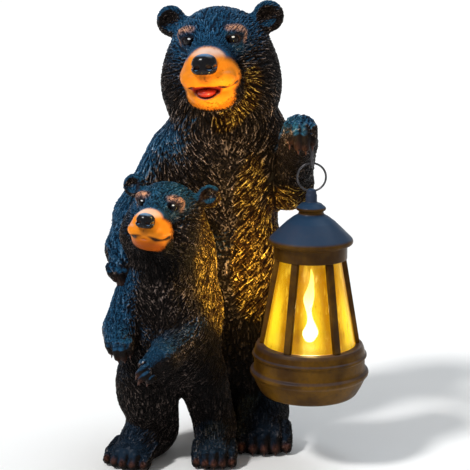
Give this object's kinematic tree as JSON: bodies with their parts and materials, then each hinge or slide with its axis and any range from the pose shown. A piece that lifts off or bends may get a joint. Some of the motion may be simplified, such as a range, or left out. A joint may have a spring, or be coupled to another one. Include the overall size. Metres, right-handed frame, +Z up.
{
  "type": "solar bear garden statue",
  "caption": "Garden statue of a mother bear with her cub, holding up a small lit lantern that hangs from a hook under her paw.",
  "frame": {"origin": "middle of the statue's bounding box, on the ground under the feet", "axes": "+Z up, -Y the way the bears face, +X towards the mother's lantern hand"},
  "size_m": [0.1876, 0.149, 0.3235],
  "materials": {
    "painted_resin": "black-brown painted resin, tan muzzles",
    "dark_plastic": "dark bronze-brown satin",
    "clear_shade": "clear, warm lit",
    "light": "glowing flame-shaped light",
    "dark_wire": "dark wire"
  },
  "bodies": {
    "root": {"bears": "painted_resin", "paw_hook": "dark_wire", "lantern_handle": "dark_wire", "lantern_cap": "dark_plastic", "lantern_frame": "dark_plastic", "lantern_glass": "clear_shade", "lantern_light": "light"}
  },
  "joints": []
}
